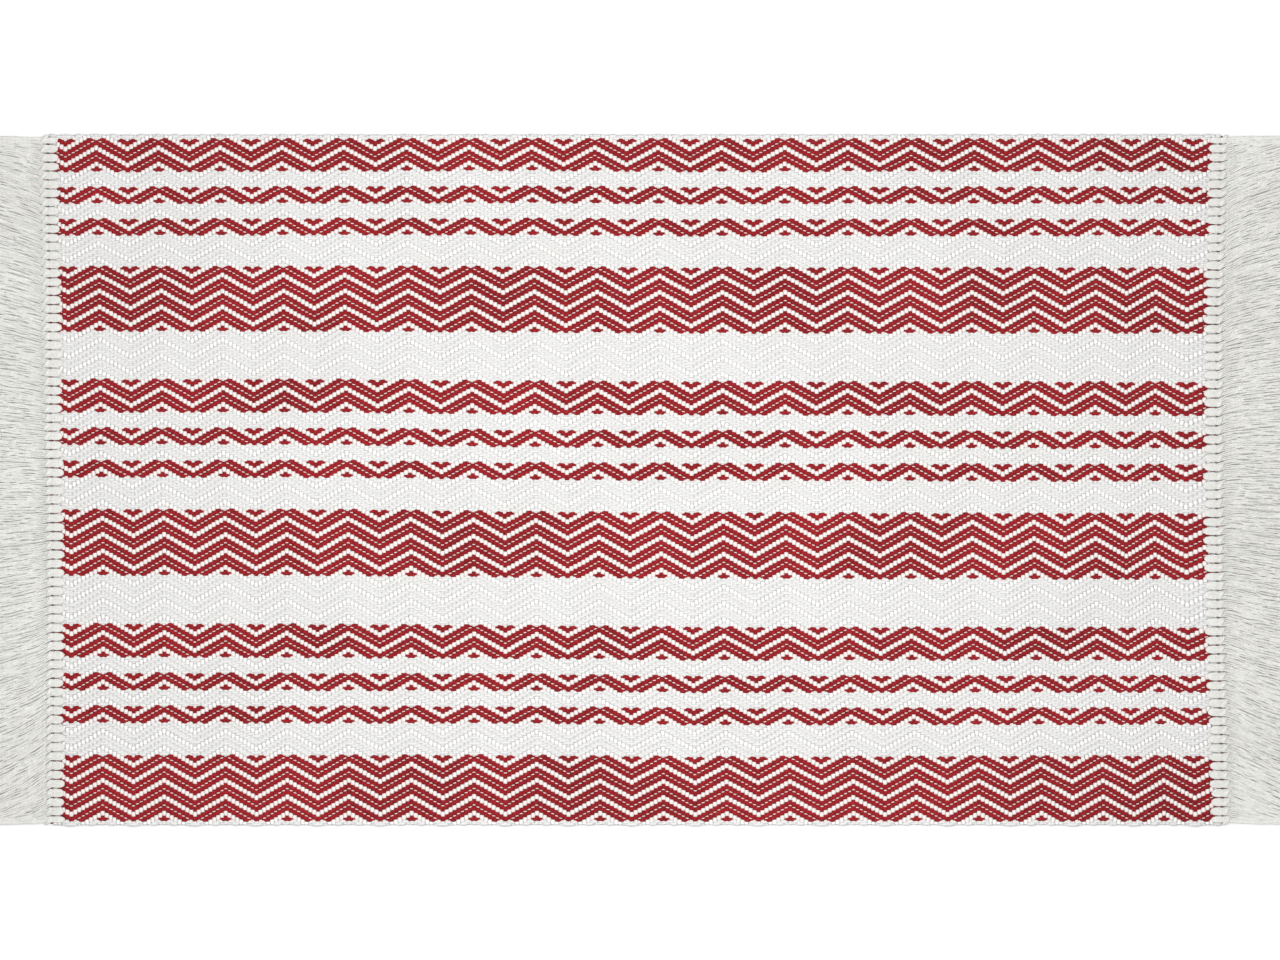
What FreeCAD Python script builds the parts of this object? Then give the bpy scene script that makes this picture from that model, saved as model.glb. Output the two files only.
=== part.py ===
import FreeCAD, Part
import os

from FreeCAD import Rotation, Vector

# A flat-woven runner rug with a knotted fringe at both ends.
#
# The frame: the rug lies flat with its underside at z = 0 and its middle at the
# origin. X runs from the left fringe to the right fringe, which is the way the
# coloured weft runs. Y runs across the stripes, which is the way the warp runs.
#
# How it is made: straight white warp threads lie side by side along Y. Each
# coloured band is weft that passes over and under all of them and turns round
# the outermost thread at both ends, so a band is a flat sleeve round the warp.
# At each end a red yarn runs along the selvedge, and a row of folded tufts is
# knotted through holes between two warp threads, round the edge and the yarn.

# Sizes are in millimetres. The picks are numbers of weft passes.
SIZES = [
    ("cloth_length", 1018.0, "from one weft turn to the other, along X"),
    ("cloth_thickness", 4.0, "of the woven cloth"),
    ("pick_pitch", 1.765, "from one weft pass to the next, along Y"),
    ("picks_narrow", 8, "in a narrow red band"),
    ("picks_medium", 16, "in a medium red band"),
    ("picks_wide", 32, "in a wide red band"),
    ("picks_gap", 8, "in a white band beside a narrow red one"),
    ("picks_step", 16, "in the white band before a wide red one"),
    ("picks_plain", 24, "in the white band after a wide red one"),
    ("picks_edge", 2, "in the white strip along each long edge"),
    ("warp_pitch", 3.4, "from one warp thread to the next, along X"),
    ("warp_width", 2.2, "of a warp thread, pressed flat by the weft"),
    ("warp_height", 1.4, "of a warp thread"),
    ("edge_skin", 0.5, "of weft over the warp where the knots squeeze it"),
    ("edge_margin", 1.0, "of squeezed cloth on the inner side of a knot"),
    ("threads_held", 3, "warp threads between a knot hole and the edge"),
    ("selvedge_diameter", 1.5, "of the red yarn carried along the edge"),
    ("tuft_pitch", 7.88, "least spacing of the tufts, which share the width evenly"),
    ("tuft_gap", 0.6, "between neighbouring tufts"),
    ("stem_width", 3.6, "of a tuft where it goes through its hole"),
    ("stem_clearance", 0.1, "round a tuft in its hole and round the red yarn"),
    ("face_lobe", 1.8, "of a knot above the squeezed cloth"),
    ("collar_reach", 6.5, "of a knot beyond the cloth's end"),
    ("fringe_length", 80.0, "from the cloth's end to the tips"),
    ("fringe_thickness", 3.4, "of the loose yarn ends as they lie"),
    ("fringe_clearance", 0.4, "between a knot and its loose ends"),
]

# The stripes from the +Y edge to the -Y edge, as colour and number of picks.
REPEAT = [
    ("red", "picks_medium"),
    ("white", "picks_gap"),
    ("red", "picks_narrow"),
    ("white", "picks_gap"),
    ("red", "picks_narrow"),
    ("white", "picks_step"),
    ("red", "picks_wide"),
    ("white", "picks_plain"),
]
REPEATS = 3
EDGE_STRIPE = ("white", "picks_edge")
STRIPES = [EDGE_STRIPE] + (REPEATS * REPEAT)[:-1] + [EDGE_STRIPE]

doc = FreeCAD.newDocument("runner_rug")


# ---- the sheet of sizes, and the expressions that several pieces share


def make_sheet():
    """The spreadsheet: a name, a plain number with that alias, and a note per row."""
    sheet = doc.addObject("Spreadsheet::Sheet", "Sizes")
    for row, (alias, value, note) in enumerate(SIZES, start=1):
        sheet.set(f"A{row}", alias)
        sheet.set(f"B{row}", str(value))
        sheet.setAlias(f"B{row}", alias)
        sheet.set(f"C{row}", note)
    doc.recompute()
    return sheet


def in_sheet(expression):
    """The same expression with every alias written as a cell of the sheet."""
    for alias, _, _ in SIZES:
        expression = expression.replace(f"<{alias}>", f"Sizes.{alias}")
    return expression


def value_of(expression):
    """The number that an expression has now."""
    return float(sheet.evalExpression(in_sheet(expression)))


sheet = make_sheet()

ALL_PICKS = " + ".join(f"<{picks}>" for _, picks in STRIPES)
CLOTH_WIDTH = f"(({ALL_PICKS}) * <pick_pitch>)"
CLOTH_HALF = "(<cloth_length> / 2)"

# The warp lies halfway up the cloth, in as many threads as the length holds.
WARP_COUNT = "floor(<cloth_length> / <warp_pitch>)"
WARP_FOOT = "((<cloth_thickness> - <warp_height>) / 2)"
WARP_TOP = "((<cloth_thickness> + <warp_height>) / 2)"
WARP_HALF = f"(({WARP_COUNT} - 1) / 2 * <warp_pitch> + <warp_width> / 2)"

# A knot hole is the gap between two warp threads near the end. The cloth is
# squeezed from there to its end, so that a knot doesn't stand under the rug.
HOLE_X = f"((({WARP_COUNT} - 1) / 2 - <threads_held> + 0.5) * <warp_pitch>)"
STEM_THICKNESS = "(<warp_pitch> - <warp_width> - 2 * <stem_clearance>)"
SQUEEZED_FOOT = f"({WARP_FOOT} - <edge_skin>)"
SQUEEZED_TOP = f"({WARP_TOP} + <edge_skin>)"
SQUEEZED_FROM = f"({HOLE_X} - {STEM_THICKNESS} / 2 - <edge_margin>)"

# A knot reaches from its stem, over and under the cloth's end and the red yarn,
# to the outer face of its collar.
KNOT_INNER = f"({HOLE_X} - {STEM_THICKNESS} / 2)"
KNOT_OUTER = f"({CLOTH_HALF} + <collar_reach>)"
KNOT_TOP = f"({SQUEEZED_TOP} + <face_lobe>)"
COLLAR_INNER = f"({CLOTH_HALF} + <selvedge_diameter> + 2 * <stem_clearance>)"

# As many tufts as the width holds at their least spacing, spread over all of it.
TUFT_COUNT = f"floor({CLOTH_WIDTH} / <tuft_pitch>)"
TUFT_STEP = f"({CLOTH_WIDTH} / {TUFT_COUNT})"
TUFT_WIDTH = f"({TUFT_STEP} - <tuft_gap>)"


# ---- ways to make an object


def make_box(name, corner, extent):
    """A block from its corner with the least x, y and z, and its three sizes."""
    block = doc.addObject("Part::Box", name)
    for side, size in zip(("Length", "Width", "Height"), extent):
        block.setExpression(side, in_sheet(size))
    for axis, place in zip("xyz", corner):
        block.setExpression(f"Placement.Base.{axis}", in_sheet(place))
    return block


def fuse(name, pieces):
    whole = doc.addObject("Part::MultiFuse", name)
    whole.Shapes = pieces
    return whole


def cut(name, base, tool):
    rest = doc.addObject("Part::Cut", name)
    rest.Base = base
    rest.Tool = tool
    return rest


def make_row(name, source, count, step, mirrored=False):
    """Separate copies of one solid in a row about the middle, as one object."""
    solid = source.Shape.copy()
    if mirrored:
        solid = solid.mirror(Vector(0, 0, 0), Vector(1, 0, 0))
    middle = (count - 1) / 2
    copies = []
    for index in range(count):
        copies.append(solid.translated(step * (index - middle)))
    group = doc.addObject("Part::Feature", name)
    group.Shape = Part.makeCompound(copies)
    group.Placement = FreeCAD.Placement()
    return group


# ---- the tufts: one knot and one bundle of loose ends, then their rows


def make_knot():
    """One knot: a lobe on the face, one on the back, the stem and the collar."""
    length = f"{KNOT_OUTER} - {KNOT_INNER}"
    across = f"-{TUFT_WIDTH} / 2"
    face = make_box(
        "knot_face_lobe",
        (KNOT_INNER, across, SQUEEZED_TOP),
        (length, TUFT_WIDTH, "<face_lobe>"),
    )
    back = make_box(
        "knot_back_lobe",
        (KNOT_INNER, across, "0"),
        (length, TUFT_WIDTH, SQUEEZED_FOOT),
    )
    collar = make_box(
        "knot_collar",
        (COLLAR_INNER, across, "0"),
        (f"{KNOT_OUTER} - {COLLAR_INNER}", TUFT_WIDTH, KNOT_TOP),
    )
    stem = make_box(
        "knot_stem",
        (KNOT_INNER, "-<stem_width> / 2", "0"),
        (STEM_THICKNESS, "<stem_width>", KNOT_TOP),
    )
    return fuse("knot", [face, back, collar, stem])


def make_knot_hole():
    """What one tuft's hole takes out of the cloth: the whole gap in the warp."""
    gap = "(<warp_pitch> - <warp_width>)"
    width = "(<stem_width> + 2 * <stem_clearance>)"
    return make_box(
        "knot_hole",
        (f"{HOLE_X} - {gap} / 2", f"-{width} / 2", "0"),
        (gap, width, "<cloth_thickness>"),
    )


def make_loose_ends():
    """The loose ends of one tuft, lying on the floor beyond its knot."""
    inner = f"({KNOT_OUTER} + <fringe_clearance>)"
    return make_box(
        "loose_ends",
        (inner, f"-{TUFT_WIDTH} / 2", "0"),
        (f"{CLOTH_HALF} + <fringe_length> - {inner}", TUFT_WIDTH, "<fringe_thickness>"),
    )


def make_tufts():
    """Both rows of knots and of loose ends, and the holes that the knots need."""
    knot = make_knot()
    hole = make_knot_hole()
    ends = make_loose_ends()
    doc.recompute()
    count = int(value_of(TUFT_COUNT))
    step = Vector(0, value_of(TUFT_STEP), 0)
    holes = Part.makeCompound(
        [
            make_row("right_holes", hole, count, step).Shape,
            make_row("left_holes", hole, count, step, mirrored=True).Shape,
        ]
    )
    both = doc.addObject("Part::Feature", "knot_holes")
    both.Shape = holes
    pieces = [
        make_row("right_knots", knot, count, step),
        make_row("left_knots", knot, count, step, mirrored=True),
        make_row("right_fringe", ends, count, step),
        make_row("left_fringe", ends, count, step, mirrored=True),
    ]
    return pieces, both


# ---- the warp, the bands of weft and the two carried yarns


def make_warp():
    thread = make_box(
        "warp_thread",
        ("-<warp_width> / 2", f"-{CLOTH_WIDTH} / 2", WARP_FOOT),
        ("<warp_width>", CLOTH_WIDTH, "<warp_height>"),
    )
    doc.recompute()
    count = int(value_of(WARP_COUNT))
    step = Vector(value_of("<warp_pitch>"), 0, 0)
    return make_row("warp_threads", thread, count, step)


def make_band(name, edge, picks, holes):
    """One band of weft, from y = edge towards -Y: a sleeve round the warp.

    The full thickness stops where the squeezed ends begin, and the slot for the
    warp runs right through along Y.
    """
    width = f"(<{picks}> * <pick_pitch>)"
    foot = f"{edge} - {width}"
    middle = make_box(
        f"{name}_middle",
        (f"-{SQUEEZED_FROM}", foot, "0"),
        (f"2 * {SQUEEZED_FROM}", width, "<cloth_thickness>"),
    )
    ends = make_box(
        f"{name}_ends",
        (f"-{CLOTH_HALF}", foot, SQUEEZED_FOOT),
        ("<cloth_length>", width, f"{SQUEEZED_TOP} - {SQUEEZED_FOOT}"),
    )
    slot = make_box(
        f"{name}_slot",
        (f"-{WARP_HALF}", foot, WARP_FOOT),
        (f"2 * {WARP_HALF}", width, "<warp_height>"),
    )
    sleeve = cut(f"{name}_sleeve", fuse(f"{name}_solid", [middle, ends]), slot)
    return cut(name, sleeve, holes)


def make_bands(holes):
    """All bands in order, each starting where the one before it stops."""
    made = []
    counts = {"red": 0, "white": 0}
    before = "0"
    for colour, picks in STRIPES:
        counts[colour] += 1
        name = f"{colour}_band_{counts[colour]:02d}"
        edge = f"({CLOTH_WIDTH} / 2 - ({before}) * <pick_pitch>)"
        made.append(make_band(name, edge, picks, holes))
        before = f"{before} + <{picks}>"
    return made


def make_selvedge_yarn(name, side):
    """The red yarn along one end of the cloth, inside the knots."""
    yarn = doc.addObject("Part::Cylinder", name)
    yarn.setExpression("Radius", in_sheet("<selvedge_diameter> / 2"))
    yarn.setExpression("Height", in_sheet(CLOTH_WIDTH))
    from_middle = f"({CLOTH_HALF} + <stem_clearance> + <selvedge_diameter> / 2)"
    yarn.Placement = FreeCAD.Placement(Vector(0, 0, 0), Rotation(Vector(1, 0, 0), -90))
    yarn.setExpression("Placement.Base.x", in_sheet(f"{side} * {from_middle}"))
    yarn.setExpression("Placement.Base.y", in_sheet(f"-{CLOTH_WIDTH} / 2"))
    yarn.setExpression("Placement.Base.z", in_sheet("<cloth_thickness> / 2"))
    return yarn


# ---- put it together, check it and write it

tufts, knot_holes = make_tufts()
pieces = [make_warp()]
pieces += make_bands(knot_holes)
pieces.append(make_selvedge_yarn("left_selvedge_yarn", "-1"))
pieces.append(make_selvedge_yarn("right_selvedge_yarn", "1"))
pieces += tufts
doc.recompute()

for item in doc.Objects:
    if "Invalid" in item.State or "Error" in item.State:
        raise RuntimeError(f"{item.Label} failed: {item.State}")

for piece in pieces:
    piece.Label = piece.Name
    if piece.Shape.isNull() or not piece.Shape.isValid():
        raise RuntimeError(f"{piece.Label} has no valid shape")

os.makedirs("parts", exist_ok=True)
for piece in pieces:
    piece.Shape.exportStep(f"parts/{piece.Label}.step")
    print(piece.Label, len(piece.Shape.Solids), "solids", round(piece.Shape.Volume), "mm3")

whole = Part.makeCompound([piece.Shape for piece in pieces]).BoundBox
print("overall", round(whole.XLength, 2), round(whole.YLength, 2), round(whole.ZLength, 2))
print("knots end at x", value_of(KNOT_OUTER), "and z", value_of(KNOT_TOP))
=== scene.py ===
# %% [markdown]
# # A flat-woven runner rug, yarn by yarn
#
# The real object is a cotton rug. White warp threads run across it, and a weft of
# red or white yarn goes over and under them in a zigzag twill, so the stripes are
# bands of weft. Tufts of white yarn are knotted round both ends as a fringe.
#
# A rug could be made as a flat slab with a picture of a weave on it. Up close that
# looks printed, so here every yarn is a tube of its own that really passes over and
# under the others. The zigzag then comes out of the weaving, as it does on a loom.

import bpy
import numpy as np
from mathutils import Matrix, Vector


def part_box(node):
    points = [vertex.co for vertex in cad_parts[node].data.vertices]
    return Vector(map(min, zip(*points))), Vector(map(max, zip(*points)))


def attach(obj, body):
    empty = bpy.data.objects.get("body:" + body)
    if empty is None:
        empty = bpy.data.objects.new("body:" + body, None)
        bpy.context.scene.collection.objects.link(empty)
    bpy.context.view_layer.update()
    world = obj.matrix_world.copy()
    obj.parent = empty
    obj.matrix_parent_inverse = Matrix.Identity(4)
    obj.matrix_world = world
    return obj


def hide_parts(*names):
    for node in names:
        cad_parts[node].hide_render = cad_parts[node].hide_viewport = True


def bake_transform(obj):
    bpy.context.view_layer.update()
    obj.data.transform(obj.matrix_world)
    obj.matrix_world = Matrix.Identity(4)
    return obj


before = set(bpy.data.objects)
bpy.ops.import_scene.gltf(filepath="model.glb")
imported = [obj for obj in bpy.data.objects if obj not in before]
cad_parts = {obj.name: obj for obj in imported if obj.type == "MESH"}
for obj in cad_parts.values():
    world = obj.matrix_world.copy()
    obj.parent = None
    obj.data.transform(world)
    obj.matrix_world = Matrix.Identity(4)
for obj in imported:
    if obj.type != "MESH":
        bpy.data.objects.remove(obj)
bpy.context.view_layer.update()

# %% [markdown]
# ## Sizes from the frame
#
# Everything that has a place is read from the frame's boxes. Only what the frame
# can't say is given here: how far apart the threads and the passes of weft lie.
# Counting then gives the number of warp threads and of passes in each band.

# %% Sizes of the cloth
MM = 0.001
WARP_PITCH = 3.4 * MM
PICK_PITCH = 1.765 * MM
REPEAT = 8

warp_low, warp_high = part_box("warp_threads")
THREADS = int(round((warp_high.x - warp_low.x) / WARP_PITCH))
CLOTH_HALF_WIDTH = warp_high.y
BANDS = sorted(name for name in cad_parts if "_band_" in name)
cloth_low, cloth_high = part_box(BANDS[0])
CLOTH_END = cloth_high.x
CLOTH_MIDDLE = (cloth_low.z + cloth_high.z) / 2


def is_red(y):
    """Where y lies inside a red band, as an array of true and false."""
    inside = np.zeros(np.shape(y), bool)
    for node in BANDS:
        low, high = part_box(node)
        inside |= node.startswith("red") & (y > low.y) & (y < high.y)
    return inside


print(THREADS, "warp threads,", len(BANDS), "bands, cloth ends at", round(CLOTH_END, 4))

# %% [markdown]
# ## Camera
#
# The rug is looked at from straight above. A long lens far away keeps both fringes
# in the same view as the middle, with almost no perspective.

# %% Camera
LENS_MM = 120
SENSOR_MM = 36
VIEW_WIDTH = 1113 * MM
VIEW_CENTRE_X = 4.8 * MM

camera_data = bpy.data.cameras.new("camera")
camera_data.lens = LENS_MM
camera_data.sensor_width = SENSOR_MM
camera = bpy.data.objects.new("camera", camera_data)
camera_height = VIEW_WIDTH * LENS_MM / SENSOR_MM
camera.location = (VIEW_CENTRE_X, 0, cloth_high.z + camera_height)
bpy.context.scene.collection.objects.link(camera)
bpy.context.scene.camera = camera
print("camera", round(camera_height, 3), "m above the cloth")

# %% [markdown]
# ## Floor and light
#
# A pale floor and large soft lights, as in a studio. The lights stand round the
# rug at a slant, because light that comes a little from the side is what shows
# the relief of a weave. Light from straight above would flatten it, so only a weak
# one hangs there.


# %% Floor and light
def srgb(code):
    """An sRGB hex colour as linear red, green, blue and an alpha of 1."""
    parts = np.array([int(code[i : i + 2], 16) for i in (1, 3, 5)]) / 255
    linear = np.where(parts <= 0.04045, parts / 12.92, ((parts + 0.055) / 1.055) ** 2.4)
    return (*(float(x) for x in linear), 1.0)


def add_node(tree, kind, settings=None, **links):
    """A shader node of that kind, with its attributes set and its sockets linked or set.

    A socket's value is another node's socket, a number or a colour. Its name is
    written with underscores, and inputs that share a name go by number, as i0.
    """
    node = tree.nodes.new(kind)
    for name, value in (settings or {}).items():
        setattr(node, name, value)
    for name, value in links.items():
        by_number = name[0] == "i" and name[1:].isdigit()
        socket = node.inputs[int(name[1:]) if by_number else name.replace("_", " ")]
        if isinstance(value, bpy.types.NodeSocket):
            tree.links.new(value, socket)
        else:
            socket.default_value = value
    return node


def new_material(name):
    """An empty node material and its node tree."""
    material = bpy.data.materials.new(name)
    material.use_nodes = True
    material.node_tree.nodes.clear()
    return material, material.node_tree


ROLLER_PATCH = 2000 / 3 * MM


def painted_floor():
    """Matt white paint: no pattern to draw the eye, a little tone from roller to roller."""
    material, tree = new_material("matt_white_floor_paint")
    place = add_node(tree, "ShaderNodeTexCoord")
    patches = add_node(
        tree, "ShaderNodeTexNoise", Vector=place.outputs["Object"], Scale=1 / ROLLER_PATCH
    )
    tone = add_node(
        tree,
        "ShaderNodeMix",
        {"data_type": "RGBA"},
        Factor=patches.outputs["Fac"],
        A=srgb("#f7f7f7"),
        B=srgb("#fbfbfb"),
    )
    shader = add_node(
        tree, "ShaderNodeBsdfPrincipled", Base_Color=tone.outputs["Result"], Roughness=0.9
    )
    add_node(tree, "ShaderNodeOutputMaterial", Surface=shader.outputs["BSDF"])
    return material


FLOOR_HALF = 6.0
WORLD_STRENGTH = 0.5
LIGHTS = [
    # (place in metres, size in metres, watts)
    ((0.0, 0.0, 1.2), 0.7, 8.8),
    ((-1.9, 1.7, 2.2), 1.6, 14),
    ((1.9, 1.7, 2.2), 1.6, 12),
    ((-1.9, -1.7, 2.2), 1.6, 10),
    ((1.9, -1.7, 2.2), 1.6, 10),
]

floor_mesh = bpy.data.meshes.new("floor")
corners = [(-1, -1), (1, -1), (1, 1), (-1, 1)]
floor_mesh.from_pydata(
    [(x * FLOOR_HALF, y * FLOOR_HALF, 0) for x, y in corners], [], [(0, 1, 2, 3)]
)
floor = bpy.data.objects.new("floor", floor_mesh)
floor.data.materials.append(painted_floor())
bpy.context.scene.collection.objects.link(floor)

for number, (place, size, watts) in enumerate(LIGHTS):
    light_data = bpy.data.lights.new(f"softbox_{number}", "AREA")
    light_data.size = size
    light_data.energy = watts
    light = bpy.data.objects.new(light_data.name, light_data)
    light.location = place
    light.visible_camera = False
    toward = -light.location
    light.rotation_euler = toward.to_track_quat("-Z", "Y").to_euler()
    bpy.context.scene.collection.objects.link(light)

world = bpy.data.worlds.new("studio")
world.use_nodes = True
background = world.node_tree.nodes["Background"]
background.inputs["Color"].default_value = srgb("#ffffff")
background.inputs["Strength"].default_value = WORLD_STRENGTH
bpy.context.scene.world = world
bpy.context.scene.view_settings.view_transform = "Standard"
print(len(LIGHTS), "softboxes")

# %% [markdown]
# ## How the cloth lies
#
# A hand-made weave is never a perfect grid. The warp wanders by a few millimetres
# over the length of the rug, and the weft is beaten in harder in some places than
# in others. One function moves every point of the rug in this way, so that the
# cloth, the knots and the fringe all stay together. A table says how far it lies off
# an even grid at some places, and small ripples are added to that.


# %% Lie of the cloth
LIE_X = np.array([-510, -460, -412, -256, -99, 57, 213, 370, 427, 453, 480, 506]) * MM
LIE_Y = np.array([284, 157, 23, -56, -141, -268]) * MM
OFF_X = MM * np.array(
    [
        [-1.7, -2.6, -2.8, -4.7, -4.5, -2.8, -0.9, 0.8, 0.4, -0.2, -0.8, 0.9],
        [0.5, 0.4, -0.2, -3.7, -2.0, -1.7, -1.4, -2.9, -3.6, -5.2, -6.4, -2.4],
        [1.5, 1.6, 0.4, -2.2, -1.3, -1.4, -1.6, -3.4, -4.3, -6.0, -7.3, -2.9],
        [2.8, 3.5, 2.4, -0.7, -0.3, -0.6, -0.8, -2.6, -3.8, -6.0, -7.7, -2.3],
        [3.0, 3.6, 2.3, -0.8, -0.1, -0.2, -0.3, -1.6, -2.5, -4.3, -5.7, -1.2],
        [2.9, 3.2, 2.2, -0.2, -0.1, 1.9, 3.8, 3.9, 2.9, 1.9, 1.1, 2.8],
    ]
)
OFF_Y = MM * np.array(
    [
        [-0.2, -0.2, -0.2, 0.4, 1.1, -0.1, 0.4, 0.3, 0.3, 0.3, 0.3, 0.3],
        [2.6, 2.6, 2.6, 2.6, 2.0, 1.3, 1.3, 1.4, 1.4, 1.4, 1.4, 1.4],
        [2.8, 2.8, 2.8, 2.7, 0.7, 0.2, -0.1, -0.6, -0.6, -0.6, -0.6, -0.6],
        [2.4, 2.4, 2.4, 2.3, 0.5, -0.4, -0.9, -1.2, -1.2, -1.2, -1.2, -1.2],
        [1.7, 1.7, 1.7, 1.0, 0.5, -1.2, -1.3, -1.4, -1.4, -1.4, -1.4, -1.4],
        [0.2, 0.2, 0.2, 0.3, 0.5, -0.9, -0.4, 0.2, 0.2, 0.2, 0.2, 0.2],
    ]
)
RIPPLE = 0.14 * MM
RIPPLE_LENGTH = 22 * MM
RIPPLE_SEED_X, RIPPLE_SEED_Y = 12, 14
EDGE_HELD = 30 * MM


def ripples(x, y, seed, waves=7):
    """A few plane waves with seeded directions: size * sum of sin(k . (x, y) + phase) / sqrt(n)."""
    draw = np.random.default_rng(seed)
    angle = draw.uniform(0, 2 * np.pi, waves)
    phase = draw.uniform(0, 2 * np.pi, waves)
    pace = 2 * np.pi / (RIPPLE_LENGTH * draw.uniform(0.7, 1.5, waves))
    total = np.zeros(np.shape(x))
    for a, p, k in zip(angle, phase, pace):
        total += np.sin(k * (x * np.cos(a) + y * np.sin(a)) + p)
    return RIPPLE * total / np.sqrt(waves)


def from_table(table, x, y):
    """The table's value at x and y, in straight lines between its rows and columns."""
    column = np.interp(x, LIE_X, np.arange(len(LIE_X)))
    row = np.interp(-y, -LIE_Y, np.arange(len(LIE_Y)))
    c = np.minimum(column.astype(int), len(LIE_X) - 2)
    r = np.minimum(row.astype(int), len(LIE_Y) - 2)
    s, t = column - c, row - r
    upper = table[r, c] * (1 - s) + table[r, c + 1] * s
    lower = table[r + 1, c] * (1 - s) + table[r + 1, c + 1] * s
    return upper * (1 - t) + lower * t


def lie(points):
    """Moves points along x and y by the tables and the ripples.

    The movement along y fades out at the two long edges, so they stay straight.
    """
    x, y = points[..., 0], points[..., 1]
    inside = np.clip((CLOTH_HALF_WIDTH - np.abs(y)) / EDGE_HELD, 0, 1)
    moved = points.copy()
    moved[..., 0] += from_table(OFF_X, x, y) + ripples(x, y, RIPPLE_SEED_X)
    moved[..., 1] += inside * (from_table(OFF_Y, x, y) + ripples(x, y, RIPPLE_SEED_Y))
    return moved


print("off the grid by up to", round(float(np.abs(OFF_X).max() / MM), 1), "mm along x")

# %% [markdown]
# ## A bundle of tubes
#
# Every yarn is a tube with four corners round it and smooth shading, which reads
# as round. Curves with a bevel could draw them too, but there are thousands of
# crossings, so all tubes of a piece are worked out at once as one array with the
# axes yarn, ring, corner and coordinate.

# %% Tubes
CORNERS = 4
UV_NAME = "OFBake"


def unit(vectors):
    """Vectors of length 1 with the same directions."""
    return vectors / np.maximum(np.linalg.norm(vectors, axis=-1, keepdims=True), 1e-12)


def sides_of(centres):
    """The level direction across a path: up crossed with the path's own direction."""
    along = np.gradient(centres, axis=-2)
    up = np.array([0.0, 0.0, 1.0])
    return unit(np.cross(up, along * [1, 1, 0]))


def tubes(centres, width, height, across=None, up=(0.0, 0.0, 1.0)):
    """Corner points of tubes round paths, in the order side, top, other side, bottom.

    Corner = centre +- width/2 across the path, or +- height/2 upward. Width and
    height may differ from ring to ring.
    """
    across = sides_of(centres) if across is None else across
    half_side = across * np.asarray(width)[..., None] / 2
    half_up = np.asarray(up) * np.asarray(height)[..., None] / 2
    return np.stack(
        [centres + half_side, centres + half_up, centres - half_side, centres - half_up],
        axis=2,
    )


def tube_faces(yarns, rings):
    """Four-sided faces between neighbouring rings, and one at each end of each yarn."""
    index = np.arange(yarns * rings * CORNERS).reshape(yarns, rings, CORNERS)
    turned = np.roll(index, -1, axis=2)
    walls = np.stack([index[:, :-1], turned[:, :-1], turned[:, 1:], index[:, 1:]], axis=-1)
    starts = index[:, 0, ::-1]
    ends = index[:, -1]
    return walls.reshape(-1, CORNERS), np.concatenate([starts, ends])


def tube_map(along, lane, lanes):
    """The UV map of the walls: along the yarn, and round it within the yarn's lane.

    u is `along` at each ring, from 0 to 1. v = (lane + corner / corners) / lanes.
    """
    start = along[:, :-1, None] + np.zeros(CORNERS)
    stop = along[:, 1:, None] + np.zeros(CORNERS)
    turn = np.arange(CORNERS) / CORNERS
    low = (lane[:, :-1, None] + turn) / lanes
    high = low + 1 / CORNERS / lanes
    u = np.stack([start, start, stop, stop], axis=-1)
    v = np.stack([low, high, high, low], axis=-1)
    return np.stack([u, v], axis=-1).reshape(-1, 2)


def make_piece(name, points, walls, caps, wall_map, material):
    """Puts arrays of points, faces and UVs into a mesh object at the origin.

    The end caps are hidden or tiny, and borrow the map of the first wall.
    """
    faces = np.concatenate([walls, caps])
    cap_map = np.tile(wall_map[:CORNERS], (len(caps), 1))
    whole_map = np.concatenate([wall_map, cap_map])
    mesh = bpy.data.meshes.new(name)
    mesh.vertices.add(len(points))
    mesh.vertices.foreach_set("co", points.astype(np.float32).ravel())
    mesh.loops.add(faces.size)
    mesh.loops.foreach_set("vertex_index", faces.astype(np.int32).ravel())
    mesh.polygons.add(len(faces))
    starts = np.arange(0, faces.size, CORNERS, dtype=np.int32)
    mesh.polygons.foreach_set("loop_start", starts)
    mesh.update(calc_edges=True)
    layer = mesh.uv_layers.new(name=UV_NAME)
    layer.uv.foreach_set("vector", whole_map.astype(np.float32).ravel())
    mesh.polygons.foreach_set("use_smooth", np.ones(len(faces), bool))
    mesh.materials.append(material)
    mesh.update()
    piece = bpy.data.objects.new(name, mesh)
    bpy.context.scene.collection.objects.link(piece)
    return piece


print("a tube of", CORNERS, "corners with 100 rings has", len(tube_faces(1, 100)[0]), "walls")

# %% [markdown]
# ## Cotton yarn
#
# Rug yarn is soft-spun cotton, a few plies twisted together. Up close the plies
# show as slanting ridges, the fibres stand off a little and catch the light, and
# no two stretches have quite the same tone. The UV map runs along each yarn, so a
# wave on it follows the twist. The same wave darkens the colour in the hollows of
# the twist: painted shade. Noises as fine as fibres, slubs and patches of uneven
# dyeing add the rest. Single fibres are too thin to show, so they are drawn 1.1 mm wide.

# %% Yarn material
FIBRE_SIZE = 10 / 9 * MM
SLUB_SIZE = 100 / 33 * MM
DYE_PATCH = 1000 / 9 * MM
# The second share is painted shade: how much the twist darkens the colour in its hollows.
PATCH_SHARE, PLY_SHADE = 0.5, 0.12
TONE_LOW, TONE_HIGH = 0.35, 1.15
PLY_RELIEF = 0.5
BUMP_STRENGTH = 0.3
BUMP_DEPTH = 0.4 * MM


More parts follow.
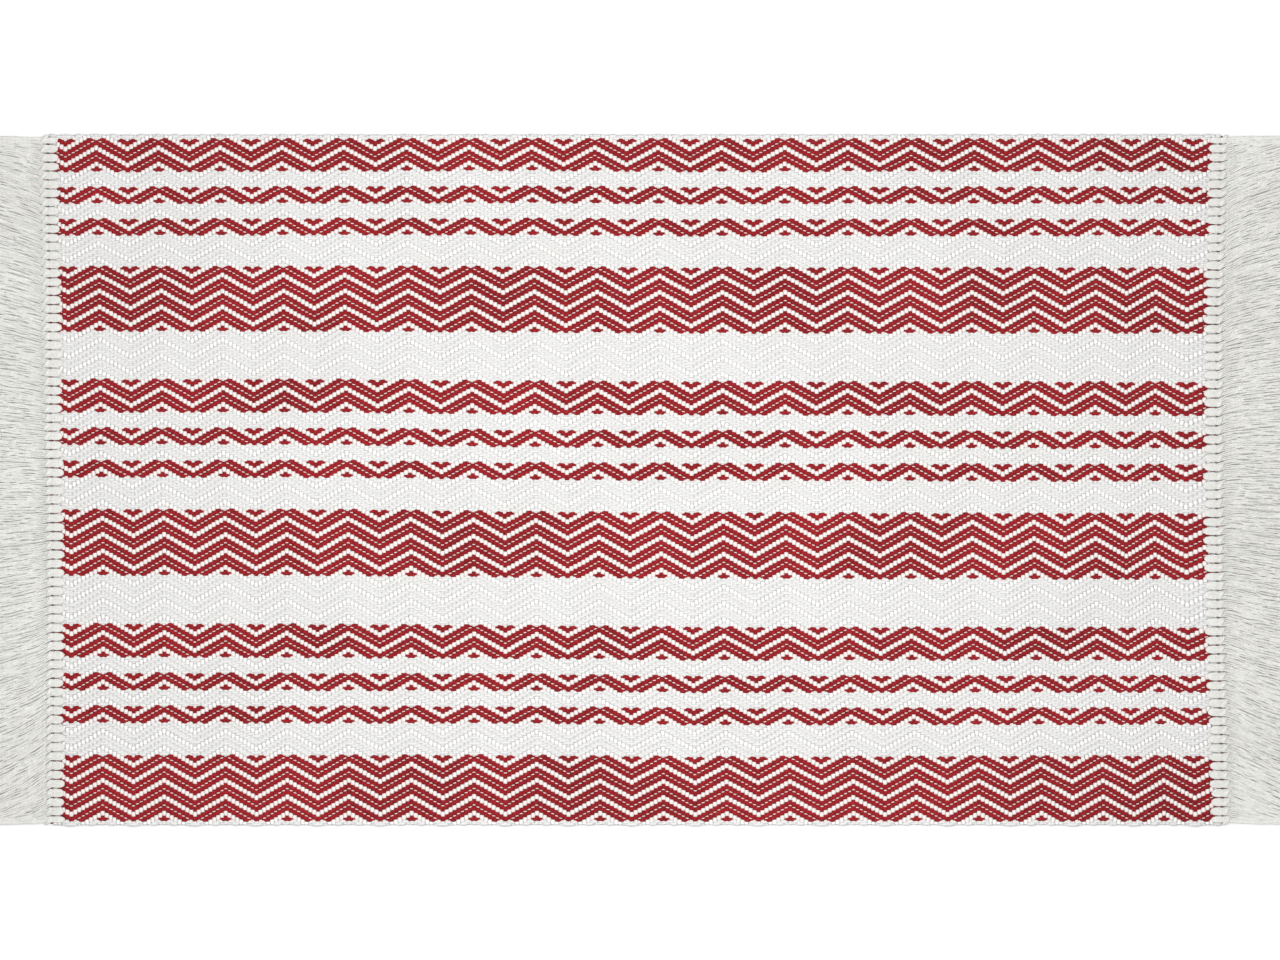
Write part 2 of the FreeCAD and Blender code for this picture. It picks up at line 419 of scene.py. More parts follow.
def cotton_yarn(name, deep, pale, lanes, twists, flattened=0.45, bounce_tint=None):
    """Twisted cotton: tone by noise, painted shade by twist, bumps by the same twist, matt.

    twists is the number of turns along the map's whole u, and lanes the number of
    yarns stacked along v, so sin(2 pi (u twists + v lanes)) winds round each yarn.
    flattened is the share of the true, faceted normal in the smooth one, which gives
    a pressed yarn its flat top. Where the mesh's painted-bounce attribute is 1, the
    colour is multiplied by the given tint: painted light bounced off red weft.
    """
    material, tree = new_material(name)
    place = add_node(tree, "ShaderNodeTexCoord")
    lane_map = add_node(tree, "ShaderNodeUVMap", {"uv_map": UV_NAME})
    parts = add_node(tree, "ShaderNodeSeparateXYZ", Vector=lane_map.outputs["UV"])
    round_it = add_node(
        tree,
        "ShaderNodeMath",
        {"operation": "MULTIPLY"},
        i0=parts.outputs["Y"],
        i1=2 * np.pi * lanes,
    )
    winding = add_node(
        tree,
        "ShaderNodeMath",
        {"operation": "MULTIPLY_ADD"},
        i0=parts.outputs["X"],
        i1=2 * np.pi * twists,
        i2=round_it.outputs["Value"],
    )
    ply = add_node(tree, "ShaderNodeMath", {"operation": "SINE"}, i0=winding.outputs["Value"])
    fibres, slubs, patches = (
        add_node(
            tree,
            "ShaderNodeTexNoise",
            Vector=place.outputs["Object"],
            Scale=1 / size,
            Detail=detail,
        )
        for size, detail in ((FIBRE_SIZE, 3.0), (SLUB_SIZE, 2.0), (DYE_PATCH, 2.0))
    )
    mixed = add_node(
        tree,
        "ShaderNodeMath",
        {"operation": "MULTIPLY_ADD"},
        i0=patches.outputs["Fac"],
        i1=PATCH_SHARE,
        i2=slubs.outputs["Fac"],
    )
    # Painted shade: the twist wave darkens the colour in the hollows of the ply.
    toned = add_node(
        tree,
        "ShaderNodeMath",
        {"operation": "MULTIPLY_ADD"},
        i0=ply.outputs["Value"],
        i1=PLY_SHADE,
        i2=mixed.outputs["Value"],
    )
    factor = add_node(
        tree,
        "ShaderNodeMapRange",
        Value=toned.outputs["Value"],
        From_Min=TONE_LOW,
        From_Max=TONE_HIGH,
    )
    tone = add_node(
        tree,
        "ShaderNodeMix",
        {"data_type": "RGBA"},
        Factor=factor.outputs["Result"],
        A=srgb(deep),
        B=srgb(pale),
    )
    colour = tone.outputs["Result"]
    # Painted bounce light: a pink tint where the mesh marks yarn lying against red weft.
    if bounce_tint:
        dye = add_node(tree, "ShaderNodeAttribute", {"attribute_name": "dye"})
        bounce_tinted = add_node(
            tree,
            "ShaderNodeMix",
            {"data_type": "RGBA", "blend_type": "MULTIPLY"},
            Factor=dye.outputs["Fac"],
            A=colour,
            B=srgb(bounce_tint),
        )
        colour = bounce_tinted.outputs["Result"]
    height = add_node(
        tree,
        "ShaderNodeMath",
        {"operation": "MULTIPLY_ADD"},
        i0=ply.outputs["Value"],
        i1=PLY_RELIEF,
        i2=fibres.outputs["Fac"],
    )
    facing = add_node(tree, "ShaderNodeNewGeometry")
    softer = add_node(
        tree,
        "ShaderNodeMix",
        {"data_type": "VECTOR"},
        i0=flattened,
        i4=facing.outputs["Normal"],
        i5=facing.outputs["True Normal"],
    )
    bumps = add_node(
        tree,
        "ShaderNodeBump",
        Height=height.outputs["Value"],
        Normal=softer.outputs[1],
        Strength=BUMP_STRENGTH,
        Distance=BUMP_DEPTH,
    )
    shader = add_node(
        tree,
        "ShaderNodeBsdfPrincipled",
        Base_Color=colour,
        Roughness=0.92,
        Normal=bumps.outputs["Normal"],
    )
    shader.inputs["Sheen Weight"].default_value = 0.12
    shader.inputs["Sheen Roughness"].default_value = 0.5
    shader.inputs["Specular IOR Level"].default_value = 0.25
    add_node(tree, "ShaderNodeOutputMaterial", Surface=shader.outputs["BSDF"])
    return material


print("fibres", round(FIBRE_SIZE / MM, 1), "mm, slubs", round(SLUB_SIZE / MM, 1), "mm")

# %% [markdown]
# ## The weave
#
# The draft is an eight-shaft point twill. Number the passes of weft from the top
# edge down, and let z be how many threads a warp thread is from the nearest peak
# of the zigzag. Then (pass - z) modulo 8 says which yarn is on top: at 0, 3, 4 and
# 5 the warp, and at 1, 2, 6 and 7 the weft. The run of three makes the white
# stair-step line, and the single one the small white dot in the red line.

# %% Draft
PEAK_THREAD = 7
SINGLE, FLOAT_ENDS, FLOAT_MIDDLE = 0, [3, 5], 4
WARP_ON_TOP = np.isin(np.arange(REPEAT), [SINGLE, *FLOAT_ENDS, FLOAT_MIDDLE])


def from_peak(place):
    """Threads from the nearest peak, for a place counted in threads from the middle one."""
    past = (place - PEAK_THREAD) % (2 * REPEAT)
    return np.minimum(past, 2 * REPEAT - past)


thread = np.arange(THREADS) - (THREADS - 1) // 2
THREAD_X = (np.arange(THREADS) - (THREADS - 1) / 2) * WARP_PITCH
ZIGZAG = from_peak(thread)

PICKS = int(round(2 * CLOTH_HALF_WIDTH / PICK_PITCH))
EDGE_PICKS = 2
PICK_Y = CLOTH_HALF_WIDTH - (np.arange(PICKS) + 0.5) * PICK_PITCH
draft = (np.arange(PICKS)[:, None] - EDGE_PICKS - ZIGZAG) % REPEAT
print(PICKS, "passes of weft; warp on top at", round(float(WARP_ON_TOP[draft].mean()), 2))

# %% [markdown]
# The weft is beaten against the zigzag, so each pass runs slightly up at a peak
# and slightly down in a valley. Where the knots grip the ends, the cloth is
# squeezed to a little over half its thickness.

# %% Thickness and beat
BEAT = 0.5 * MM
KNOTS_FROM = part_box("right_knots")[0].x
SQUEEZE = 0.6
SQUEEZE_OVER = 9 * MM


def beat(x):
    """How far a pass is pushed along y: a triangle wave, +BEAT at peaks, -BEAT in valleys."""
    odd_middle = (THREADS - 1) / 2 - (THREADS - 1) // 2
    return BEAT * (1 - 2 * from_peak(x / WARP_PITCH + odd_middle) / REPEAT)


def squeeze(x):
    """The share of its thickness that the cloth has at x: 1, easing to SQUEEZE at the ends."""
    inner = KNOTS_FROM - SQUEEZE_OVER
    t = np.clip((np.abs(x) - inner) / SQUEEZE_OVER, 0, 1)
    return 1 - (1 - SQUEEZE) * t * t * (3 - 2 * t)


WEFT_HEIGHT = 1.05 * MM
WARP_HEIGHT = 1.05 * MM
WEFT_ON_TOP, WEFT_BELOW = 1.76 * PICK_PITCH, 0.94 * PICK_PITCH
WARP_LIFT = 1.15 * MM
WEFT_LIFT = 0.92 * MM
print("warp rises", round(WARP_LIFT / MM, 2), "mm over the middle of the cloth")

# %% [markdown]
# ## The bands of weft
#
# Each band is one long yarn. It crosses all warp threads, turns round the last
# one, and comes back as the next pass, so the path is a snake: every second row of
# the array is turned round. The three rings between rows make the turn.

# %% Weft
TURN_REACH = 1.0 * MM
TURN_OUT = np.array([-0.35, 0.25, -0.35]) * MM
TURN_DOWN = np.array([0.12, 0.5, 0.88]) * PICK_PITCH


def weft_path(first, last):
    """The rings of a band's yarn, from pass `first` up to `last`, as one path.

    In a row, z = middle -+ lift, down where the warp is on top. A turn goes out to
    the cloth's end, half a pass further down.
    """
    rows = np.arange(first, last)
    x = np.tile(THREAD_X, (len(rows), 1))
    y = PICK_Y[rows, None] + beat(x)
    covered = WARP_ON_TOP[draft[rows]]
    z = np.where(covered, -WEFT_LIFT, WEFT_LIFT)
    width = np.where(covered, WEFT_BELOW, WEFT_ON_TOP)
    grid = np.stack([x, y, z, width], axis=-1)
    back = rows % 2 == 1
    grid[back] = grid[back, ::-1]
    side = np.where(back, -1.0, 1.0)
    turn_x = side[:, None] * (CLOTH_END - TURN_REACH + TURN_OUT)
    turn_y = (PICK_Y[rows] + beat(side * CLOTH_END))[:, None] - TURN_DOWN
    flat = np.zeros_like(turn_x)
    turns = np.stack([turn_x, turn_y, flat, flat + WEFT_BELOW], axis=-1)
    return np.concatenate([grid, turns], axis=1)


def make_weft(node, first, last, material, lanes):
    """One band of weft as a piece, in place of its CAD sleeve.

    Each row has a lane of the map to itself. The wall from a row's last ring to the
    next row's first ends one step further along the same lane.
    """
    rows = weft_path(first, last)
    ring_count = rows.shape[1]
    rings = rows.reshape(1, -1, 4)[:, : -len(TURN_OUT)]
    path, width = rings[..., :3], rings[..., 3]
    thin = squeeze(path[..., 0])
    path[..., 2] = CLOTH_MIDDLE + path[..., 2] * thin
    corners = lie(tubes(path, width, WEFT_HEIGHT * thin))
    step = np.arange(path.shape[1])[None]
    along = (step % ring_count) / ring_count
    lane = step // ring_count
    walls, caps = tube_faces(1, path.shape[1])
    uv = tube_map(along, lane.astype(float), lanes)
    by_wall = uv.reshape(-1, CORNERS, 2)
    by_wall[:, 2:, 0] = by_wall[:, :2, 0] + 1 / ring_count
    name = node.replace("band", "weft")
    piece = make_piece(name, corners.reshape(-1, 3), walls, caps, uv, material)
    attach(piece, "cloth")
    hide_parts(node)
    return piece


WEFT_LANES = 32
WEFT_TWISTS = 260
# Vat-dyed crimson cotton: a deep red that stays matt, with painted shade in the hollows of the ply.
red_weft = cotton_yarn("crimson_cotton_weft", "#640a10", "#ae1f27", WEFT_LANES, WEFT_TWISTS)
# Bleached cotton: a clean, slightly grey white, a shade below the warp's.
white_weft = cotton_yarn("bleached_cotton_weft", "#dad9d7", "#e7e7e6", WEFT_LANES, WEFT_TWISTS)

weft_pieces = []
for node in BANDS:
    low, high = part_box(node)
    first = int(round((CLOTH_HALF_WIDTH - high.y) / PICK_PITCH))
    last = int(round((CLOTH_HALF_WIDTH - low.y) / PICK_PITCH))
    material = red_weft if node.startswith("red") else white_weft
    piece = make_weft(node, first, last, material, WEFT_LANES)
    weft_pieces.append(piece)
print(len(weft_pieces), "bands,", sum(len(p.data.polygons) for p in weft_pieces), "faces")

# %% [markdown]
# ## The warp
#
# The warp threads are all alike, so they are one grid of rings: threads by passes.
# They are widest in the middle of a float and pinched where a single crossing
# comes up between two passes of weft. Five pieces keep each mesh light.

# %% Warp
WARP_PIECES = 5
SINGLE_LIFT, FLOAT_END_LIFT = 0.8, 0.5
MIDDLE_WIDTH, FLOAT_END_WIDTH, SINGLE_WIDTH, BELOW_WIDTH, TURN_WIDTH = 1.1, 0.98, 0.72, 0.9, 0.7
TURN_OVER, TURN_INWARD = 0.55 * PICK_PITCH, 1.6 * PICK_PITCH
END_RINGS = 2

# The height and the width of a thread at each of the eight steps of the draft.
LIFT_AT = np.where(WARP_ON_TOP, 1.0, -1.0)
LIFT_AT[SINGLE], LIFT_AT[FLOAT_ENDS] = SINGLE_LIFT, FLOAT_END_LIFT
WIDTH_AT = np.full(REPEAT, BELOW_WIDTH)
WIDTH_AT[SINGLE], WIDTH_AT[FLOAT_ENDS], WIDTH_AT[FLOAT_MIDDLE] = (
    SINGLE_WIDTH,
    FLOAT_END_WIDTH,
    MIDDLE_WIDTH,
)


def warp_grid(threads):
    """Ring centres and widths of some warp threads, from the top edge to the other.

    z = middle +- lift, up where the draft has the warp on top, and width = share *
    pitch. At both ends the thread turns down round the last pass and goes back inside
    the cloth, at half its height on the other side.
    """
    step = draft[:, threads].T
    x = np.repeat(THREAD_X[threads, None], PICKS, axis=1)
    y = PICK_Y[None] + beat(x)
    z = WARP_LIFT * LIFT_AT[step]
    centres = np.stack([x, y, z], axis=-1)
    first, last = centres[:, :1], centres[:, -1:]
    over, inward = [0, TURN_OVER, 0], [0, TURN_INWARD, 0]
    level, other_side = [1, 1, 0], [1, 1, -0.5]
    start = [first * other_side - inward, first * level + over]
    stop = [last * level - over, last * other_side + inward]
    centres = np.concatenate([*start, centres, *stop], axis=1)
    ends = np.full((len(threads), END_RINGS), TURN_WIDTH)
    return centres, np.concatenate([ends, WIDTH_AT[step], ends], axis=1) * WARP_PITCH


def make_warp(number, threads, material, lanes):
    """Some warp threads as a piece, marked for painted red bounce light where they cross red weft.
    """
    centres, width = warp_grid(threads)
    thin = squeeze(centres[..., 0])
    centres[..., 2] = CLOTH_MIDDLE + centres[..., 2] * thin
    across = np.zeros_like(centres)
    across[..., 0] = 1.0
    corners = lie(tubes(centres, width, WARP_HEIGHT * thin, across))
    yarns, rings = centres.shape[:2]
    along = np.repeat((np.arange(rings) / (rings - 1))[None], yarns, axis=0)
    lane = np.repeat(np.arange(yarns)[:, None], rings, axis=1).astype(float)
    walls, caps = tube_faces(yarns, rings)
    piece = make_piece(
        f"warp_{number}",
        corners.reshape(-1, 3),
        walls,
        caps,
        tube_map(along, lane, lanes),
        material,
    )
    # Painted bounce light: 1 where the warp crosses red weft, tinted pink by the material.
    dye = np.zeros((yarns, rings, CORNERS), np.float32)
    dye[:, END_RINGS:-END_RINGS] = is_red(PICK_Y)[None, :, None]
    layer = piece.data.attributes.new("dye", "FLOAT", "POINT")
    layer.data.foreach_set("value", dye.ravel())
    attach(piece, "cloth")
    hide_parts("warp_threads")
    return piece


groups = np.array_split(np.arange(THREADS), WARP_PIECES)
WARP_LANES = len(groups[0])
WARP_TWISTS = 150
# Bleached cotton, tightly spun: the brightest white, tinted faintly pink where it crosses red weft,
# as painted light bounced off the red.
white_warp = cotton_yarn(
    "bleached_cotton_warp", "#f1efed", "#faf9f8", WARP_LANES, WARP_TWISTS, bounce_tint="#fef5f3"
)
for number, threads in enumerate(groups, start=1):
    piece = make_warp(number, threads, white_warp, WARP_LANES)

# %% [markdown]
# ## Where the tufts sit
#
# The fringe isn't the ends of the warp. It is tufts of yarn, each folded double and
# knotted round the edge of the cloth through a hole in it. All of them are the same
# knot, so a tuft is described once, with u pointing out of the cloth and v along its
# edge, and then placed. Turning it by half a turn gives the other end of the rug.

# %% Tufts
TUFTS = 76
TUFT_STEP = 2 * CLOTH_HALF_WIDTH / TUFTS
TUFT_Y = (np.arange(TUFTS) + 0.5) * TUFT_STEP - CLOTH_HALF_WIDTH
SIDES = {"left": -1.0, "right": 1.0}


def place(side, u, v, z):
    """World points of local ones: x = side u, y = the tuft's middle + side v.

    The first axis of the arrays is the tuft.
    """
    y = TUFT_Y[:, None, None] + side * v
    return np.stack(np.broadcast_arrays(side * u, y, z), axis=-1)


STRANDS_IN_TUFT = 13
STRAND_COLUMNS = 8
STRAND_LANES = -(-TUFTS * STRANDS_IN_TUFT // STRAND_COLUMNS)


def strand_map(along, strands, first=0):
    """The UV map of many short strands, in columns side by side along u.

    The strands are numbered from `first`, and no two of them share a place.
    """
    column, row = np.divmod(first + np.arange(strands)[:, None], STRAND_LANES)
    u = (column + along) / STRAND_COLUMNS
    return tube_map(u, row + np.zeros_like(u), STRAND_LANES)


print(TUFTS, "tufts,", round(TUFT_STEP / MM, 2), "mm apart")

# %% [markdown]
# ## The red yarn carried along each end
#
# Between two red bands the red weft isn't cut. It is carried along the edge of the
# cloth to the next band, and small red dots of it show between the tufts. It is a
# single yarn, lying deep where a tuft covers it and coming up in some of the gaps.


# %% Carried yarn
CARRIED_STEPS = 6
CARRIED_WIDTH = 1.5 * MM
CARRIED_Z, CARRIED_RISE = 1.1 * MM, 1.5 * MM
CARRIED_OUTWARD = 0.25 * MM
SHOWN_IN_WHITE = 0.3


def carried_yarn(node, side, seed):
    """A yarn along y that comes up in the gaps between tufts that show it.

    z = z0 + rise show swell, with swell = (1 + cos(2 pi (y - gap) / step)) / 2. It
    shows in every gap of a red band, and by chance in some of the gaps between.
    """
    draw = np.random.default_rng(seed)
    low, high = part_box(node)
    count = TUFTS * CARRIED_STEPS
    y = np.linspace(low.y + CARRIED_WIDTH / 2, high.y - CARRIED_WIDTH / 2, count + 1)
    gap = (y + CLOTH_HALF_WIDTH) / TUFT_STEP
    nearest = np.clip(np.round(gap).astype(int), 0, TUFTS)
    gap_y = nearest * TUFT_STEP - CLOTH_HALF_WIDTH
    show = np.where(is_red(gap_y), 1.0, (draw.random(TUFTS + 1) < SHOWN_IN_WHITE)[nearest])
    swell = (1 + np.cos(2 * np.pi * (gap - nearest))) / 2
    z = CARRIED_Z + CARRIED_RISE * show * swell
    x = (low.x + high.x) / 2 + side * CARRIED_OUTWARD * swell
    path = np.stack([x, y, z], axis=-1)[None]
    size = np.full(path.shape[:2], CARRIED_WIDTH)
    corners = lie(tubes(path, size, size))
    along = np.linspace(0, 1, len(y))[None]
    walls, caps = tube_faces(1, len(y))
    piece = make_piece(
        node.replace("selvedge", "carried"),
        corners.reshape(-1, 3),
        walls,
        caps,
        tube_map(along, np.zeros_like(along), WEFT_LANES),
        red_weft,
    )
    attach(piece, "cloth")
    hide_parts(node)
    return piece


carried = {
    name: carried_yarn(f"{name}_selvedge_yarn", side, seed)
    for seed, (name, side) in enumerate(SIDES.items(), start=21)
}
print(len(carried), "carried yarns")

# %% [markdown]
# ## Collars
#
# The fold of a tuft is drawn tight round its own ends and makes a collar of slanting
# yarns, just outside the cloth. Each of its yarns is a ring round the tuft. A torus
# would do for one, but the rings lean and touch, so they are tubes like all the rest,
# with both ends hidden underneath.

# %% Collars
COLLAR_U = 511.6 * MM
COLLAR_Z = 2.45 * MM
COLLAR_HALF_WIDTH = 3.5 * MM
COLLAR_HALF_HEIGHT = 1.65 * MM
COLLAR_YARNS = 3
COLLAR_RINGS = 10
COLLAR_SLANT = 0.6
COLLAR_YARN = 1.5 * MM
COLLAR_FLATNESS = 0.85
COLLAR_REACH = 1.1 * MM
COLLAR_MAP_LENGTH = 0.2
# How much the collars differ: size, slant, place of a collar, place of each yarn.
SIZE_SPREAD, SLANT_SPREAD = 0.04, 0.12
COLLAR_SPREAD, YARN_SPREAD = 0.35 * MM, 0.12 * MM


def collars(name, side, seed, material):
    """Rings round the tufts, leaning outward along v.

    v = a cos t, z = z0 + b swell sin t, u = u0 + offset + slant v, with t from the
    bottom round to the bottom again, and swell = 1 - (offset / 2 mm)^2 / 10.
    """
    draw = np.random.default_rng(seed)
    shape = (TUFTS, COLLAR_YARNS, 1)
    t = np.linspace(-np.pi / 2, 3 * np.pi / 2, COLLAR_RINGS)[None, None]
    size = draw.normal(1, SIZE_SPREAD, (TUFTS, 1, 1))
    slant = COLLAR_SLANT + draw.normal(0, SLANT_SPREAD, (TUFTS, 1, 1))
    offset = np.linspace(-1, 1, COLLAR_YARNS)[None, :, None] * COLLAR_REACH
    offset = offset + draw.normal(0, 1, (TUFTS, 1, 1)) * COLLAR_SPREAD
    offset = offset + draw.normal(0, 1, shape) * YARN_SPREAD
    swell = 1 - 0.1 * (offset / (2 * MM)) ** 2
    v = COLLAR_HALF_WIDTH * size * np.cos(t)
    z = COLLAR_Z + COLLAR_HALF_HEIGHT * swell * np.sin(t)
    centres = place(side, COLLAR_U + offset + slant * v, v, z)
    centres = centres.reshape(-1, COLLAR_RINGS, 3)
    outward = np.stack(np.broadcast_arrays(0 * t, side * np.cos(t), np.sin(t)), axis=-1)
    along = unit(np.gradient(centres, axis=-2))
    across = unit(np.cross(outward.reshape(1, COLLAR_RINGS, 3), along))
    width = np.full(centres.shape[:2], COLLAR_YARN)
    up = np.cross(along, across)
    corners = lie(tubes(centres, width, COLLAR_FLATNESS * width, across, up))
    yarns = len(centres)
    steps = np.linspace(0, 1, COLLAR_RINGS)[None]
    walls, caps = tube_faces(yarns, COLLAR_RINGS)
    piece = make_piece(
        f"{name}_collars",
        corners.reshape(-1, 3),
        walls,
        caps,
        strand_map(steps * COLLAR_MAP_LENGTH, yarns),
        material,
    )
    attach(piece, "cloth")
    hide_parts(f"{name}_knots")
    return piece


FRINGE_TWISTS = 22 * STRAND_COLUMNS
FRINGE_FLATTENED = 0.15
# Loosely spun, undyed cotton: softer and a little creamier than the cloth, with grey gaps.
fringe_yarn = cotton_yarn(
    "soft_cotton_fringe_yarn",
    "#d7d6d2",
    "#eaeae6",
    STRAND_LANES,
    FRINGE_TWISTS,
    FRINGE_FLATTENED,
)
collar_pieces = {
    name: collars(name, side, seed, fringe_yarn)
    for seed, (name, side) in enumerate(SIDES.items(), start=31)
}
print(TUFTS * COLLAR_YARNS, "rings of yarn round the tufts at each end")

# %% [markdown]
# ## Strands
#
# Each strand comes from behind the cloth, up through the hole, over the edge as one
# of five that make a petal, in under the collar, and out as loose fringe. Eight more
# come out below. Hair particles could fill a fringe, but they couldn't be followed
# through a knot. Here a table gives the height and the spread at each distance out,
# and waves, drift and the comb of the whole fringe are added to it.

# %% Strand tables
# Each row: distance out from the middle of the rug, height of the yarn's centre, share
# of the tuft's spread, width and height of the yarn. All in millimetres but the share.
OVER = np.array(
    [
        (511.0, 1.05, 0.80, 1.4, 0.9),
        (505.0, 0.50, 0.95, 1.6, 0.8),
        (501.8, 0.55, 0.70, 1.5, 0.8),
        (499.6, 2.00, 0.30, 1.3, 1.0),
        (499.4, 3.30, 0.20, 1.4, 1.1),
        (500.1, 3.90, 0.50, 1.7, 1.3),
        (501.4, 4.15, 0.74, 1.8, 1.3),
        (503.4, 4.25, 0.86, 1.9, 1.3),
        (505.8, 4.20, 0.93, 1.9, 1.3),
        (508.6, 3.95, 0.78, 1.6, 1.3),
        (510.8, 3.40, 0.95, 1.7, 1.2),
        (513.8, 2.60, 0.90, 1.5, 1.2),
        (517.0, 2.45, 1.05, 1.4, 1.25),
    ]
)
UNDER = np.array(
    [
        (511.5, 1.50, 0.70, 1.2, 1.0),
        (514.4, 1.40, 0.85, 1.3, 1.1),
        (517.0, 1.30, 1.05, 1.4, 1.2),
    ]
)
LOOSE_U = np.array(
    [521.0, 525.0, 530.0, 535.5, 541.5, 548.0, 555.0, 562.0, 569.5, 577.0, 585.0]
)
LOOSE_SHARE, LOOSE_WIDTH, LOOSE_HEIGHT = 1.12, 1.42, 1.2
LOOSE_FROM, LOOSE_TO = 515.0, 585.0
YARNS_OVER, YARNS_UNDER = 5, 8
SPREAD_OVER, SPREAD_UNDER = 1.5 * MM, 0.95 * MM
print(len(OVER) + len(LOOSE_U), "rings on a strand over the cloth")

# %% [markdown]
# No two strands lie alike. Each has its own place and layer at the tip, its own cut,
# and a few waves of its own, and the strands of a tuft share one more wave.

# %% Unevenness of the strands
PETAL_MIDDLE, PETAL_HALF, PETAL_LAST, PETAL_SPREAD = 500, 8, 509, 0.55 * MM
CUT_SHORT, CUT_LONG = -7, 4
REST_SPREAD = 1.1
WAVES = ((64, 0.75), (31, 0.45), (17, 0.3))
TUFT_WAVE, TUFT_WAVE_LENGTH = 0.35 * MM, 11 * MM
LOWEST_LAYER, TOP_LAYER = 0.95, 2.35
LAYER_WAVE, LAYER_WAVE_LENGTH = 0.25, 8 * MM
print(len(WAVES) + 1, "waves in each strand")

# %% [markdown]
# The whole fringe has been combed by hand. On both ends its strands first lean the
# way that the collar leans, and then bend: outward and up in the upper half of the
# rug, outward and down in the lower half. At the two long edges they stay in line.


# %% Comb
HOOK = {"left": (-0.4 * MM, 2.4 * MM), "right": (3.2 * MM, -1.0 * MM)}
HOOK_OVER = 6 * MM
SWEEP = {"left": (0.03, 0.80, -0.26), "right": (-0.03, 0.85, -0.14)}
SWEEP_OVER = 90 * MM
FADE = 10
EDGE_MARGIN = 10 * MM


def comb(name, u, y):
    """How far along y a strand is combed at the distance u.

    With t = y / half width, the slope is c0 + c1 t + c2 t^2, times 1 - t^10 so that
    it fades at the long edges. The hook is (h0 + h1 t) (1 - exp(-(u - u0) / length)).
    """
    out = np.maximum(u - COLLAR_U, 0)
    t = np.clip(y / CLOTH_HALF_WIDTH, -1, 1)
    c0, c1, c2 = SWEEP[name]
    h0, h1 = HOOK[name]
    slope = (c0 + c1 * t + c2 * t * t) * (1 - t**FADE)
    hook = (h0 + h1 * t) * (1 - np.exp(-out / HOOK_OVER)) * (1 - t**FADE)
    return hook + slope * SWEEP_OVER * (1 - np.exp(-out / SWEEP_OVER))


def kept_in(y):
    """Bends back the strands that would pass the long edges.

    From a line m inside each edge, a distance d past that line becomes m tanh(d / m).
    """
    line = CLOTH_HALF_WIDTH - EDGE_MARGIN
    past = np.maximum(np.abs(y) - line, 0)
    size = np.minimum(np.abs(y), line) + EDGE_MARGIN * np.tanh(past / EDGE_MARGIN)
    return np.sign(y) * size


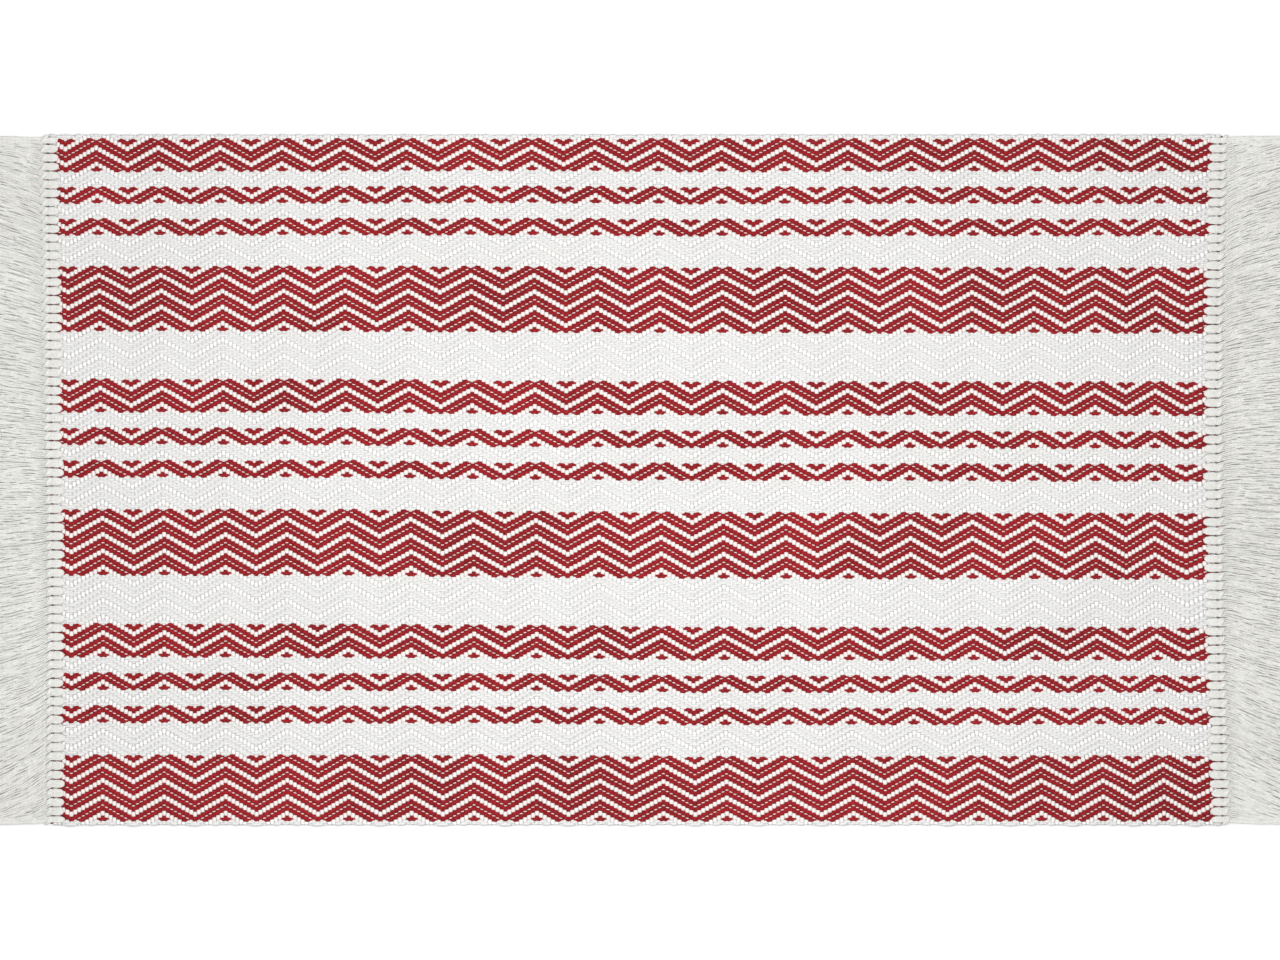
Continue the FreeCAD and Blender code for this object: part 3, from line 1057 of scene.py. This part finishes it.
def strand_rings(table, yarns, spread, draw, name, side):
    """Ring centres, widths and heights of some strands in each tuft.

    v = offset share, turning into a place of its own at the tip, + waves, and
    z = the table's height, turning into a layer of its own, + slow waves. What is
    loose only sets in with the distance out: all of it at the tip, none at the collar.
    """
    like = [0, table[-1, 1], LOOSE_SHARE, LOOSE_WIDTH, LOOSE_HEIGHT]
    tail = np.tile(like, (len(LOOSE_U), 1))
    tail[:, 0] = LOOSE_U
    rows = np.concatenate([table, tail])
    shape = (TUFTS, yarns, 1)
    u = rows[:, 0] * MM + np.zeros((TUFTS, yarns, len(rows)))
    loose = np.clip((rows[:, 0] - LOOSE_FROM) / (LOOSE_TO - LOOSE_FROM), 0, 1)
    petal = np.clip(1 - np.abs(rows[:, 0] - PETAL_MIDDLE) / PETAL_HALF, 0, 1)
    petal = petal * (rows[:, 0] < PETAL_LAST)
    u = u + draw.normal(0, 1, (TUFTS, 1, 1)) * PETAL_SPREAD * petal
    u = u + draw.uniform(CUT_SHORT, CUT_LONG, shape) * MM * loose**3
    order = (np.arange(yarns) - (yarns - 1) / 2)[None, :, None]
    offset = order * spread
    resting = order * TUFT_STEP / yarns + draw.normal(0, REST_SPREAD, shape) * MM
    v = offset * rows[:, 2] * (1 - loose) + resting * loose
    for length, size in WAVES:
        pace = 2 * np.pi / (length * MM * draw.uniform(0.8, 1.25, shape))
        phase = draw.uniform(0, 2 * np.pi, shape)
        v = v + size * MM * np.sin(pace * u + phase) * np.clip(loose * 6, 0, 1)
    tuft_phase = draw.uniform(0, 2 * np.pi, (TUFTS, 1, 1))
    together = TUFT_WAVE * np.sin(u / TUFT_WAVE_LENGTH + tuft_phase)
    v = v + together * np.clip(loose * 3, 0, 1)
    rise = np.sin(u / LAYER_WAVE_LENGTH + draw.uniform(0, 2 * np.pi, shape))
    layer = draw.uniform(LOWEST_LAYER, TOP_LAYER, shape)
    settled = np.clip(loose * 4, 0, 1)
    z = (rows[:, 1] * (1 - settled) + (layer + LAYER_WAVE * rise) * settled) * MM
    centres = place(side, u, v, z)
    centres[..., 1] = kept_in(centres[..., 1] + comb(name, u, TUFT_Y[:, None, None]))
    width = np.broadcast_to(rows[:, 3] * MM, u.shape)
    height = np.broadcast_to(rows[:, 4] * MM, u.shape)
    count = TUFTS * yarns
    return centres.reshape(count, -1, 3), width.reshape(count, -1), height.reshape(count, -1)


# %% Strands
STRAND_MAP_LENGTH = 0.98


def strands(name, side, seed, material):
    """All strands of every tuft of one end, as one piece that bends at the collars."""
    draw = np.random.default_rng(seed)
    points, walls, caps, maps = [], [], [], []
    first, made = 0, 0
    kinds = ((OVER, YARNS_OVER, SPREAD_OVER), (UNDER, YARNS_UNDER, SPREAD_UNDER))
    for table, yarns, spread in kinds:
        centres, width, height = strand_rings(table, yarns, spread, draw, name, side)
        along = unit(np.gradient(centres, axis=-2))
        across = np.array([0.0, side, 0.0])
        across = unit(across - along * (across * along).sum(axis=-1, keepdims=True))
        corners = lie(tubes(centres, width, height, across, np.cross(along, across)))
        count, rings = centres.shape[:2]
        some_walls, some_caps = tube_faces(count, rings)
        points.append(corners.reshape(-1, 3))
        walls.append(some_walls + first)
        caps.append(some_caps + first)
        steps = np.linspace(0, STRAND_MAP_LENGTH, rings)[None] + np.zeros((count, 1))
        maps.append(strand_map(steps, count, made))
        first += count * rings * CORNERS
        made += count
    piece = make_piece(
        f"{name}_fringe_strands",
        np.concatenate(points),
        np.concatenate(walls),
        np.concatenate(caps),
        np.concatenate(maps),
        material,
    )
    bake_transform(piece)
    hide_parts(f"{name}_fringe")
    return piece


fringe_pieces = {
    name: strands(name, side, seed, fringe_yarn)
    for seed, (name, side) in enumerate(SIDES.items(), start=41)
}
print([len(p.data.polygons) for p in fringe_pieces.values()], "faces of fringe")

# %% [markdown]
# ## Band boxes
#
# The box of each band is read from the frame once more; nothing else is done with it.

# %% Band boxes
for node, piece in zip(BANDS, weft_pieces):
    low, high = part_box(node)
